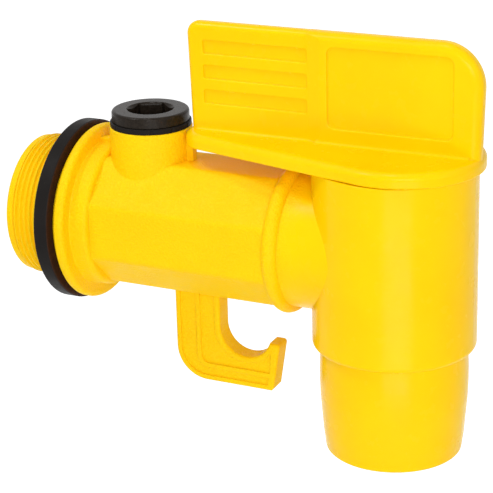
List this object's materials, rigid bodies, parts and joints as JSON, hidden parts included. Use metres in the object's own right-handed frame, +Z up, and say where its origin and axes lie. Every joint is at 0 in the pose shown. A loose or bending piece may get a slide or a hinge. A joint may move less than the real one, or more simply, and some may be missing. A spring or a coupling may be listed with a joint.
{
  "type": "drum tap",
  "caption": "Plastic drum tap: male threaded inlet with gasket, octagonal barrel, vent plug, pail hook, and a rotor with a grip handle that turns a quarter turn and ends as the downward spout.",
  "frame": {"origin": "on the axis of the inlet thread, at the end of its crests, 0.1 mm before the gasket's sealing face", "axes": "+X along the inlet towards the outlet, out of the drum; +Z up, along the rotor's axis towards the handle; +Y to the left of the flow, so the row is right-handed"},
  "size_m": [0.1968, 0.0758, 0.1691],
  "materials": {
    "yellow_plastic": "moulded, satin gloss",
    "black_plastic": "moulded, satin",
    "gasket_rubber": "matt",
    "ring_rubber": "matt"
  },
  "bodies": {
    "tap_body": {"valve_body": "yellow_plastic", "inlet_gasket": "gasket_rubber"},
    "rotor": {"rotor_plug": "yellow_plastic", "handle": "yellow_plastic", "upper_ring": "ring_rubber", "lower_ring": "ring_rubber", "port_seal": "ring_rubber"},
    "vent_seal": {"vent_gasket": "gasket_rubber"},
    "vent_screw": {"vent_plug": "black_plastic"}
  },
  "joints": [
    {"name": "rotor_turn", "type": "hinge", "parent": "tap_body", "child": "rotor", "pos_m": [0.1426, 0, 0], "axis": [0, 0, 1], "range_deg": [0, 90]},
    {"name": "vent_lift", "type": "slide", "parent": "tap_body", "child": "vent_seal", "axis": [0, 0, 1], "range_m": [0, 0.01]},
    {"name": "vent_spin", "type": "hinge", "parent": "vent_seal", "child": "vent_screw", "pos_m": [0.036, 0, 0], "axis": [0, 0, 1], "range_deg": [0, 1980]}
  ],
  "couplings": [
    {"joint": "vent_lift", "follows": "vent_spin", "m_per_rad": 0.00028871}
  ]
}
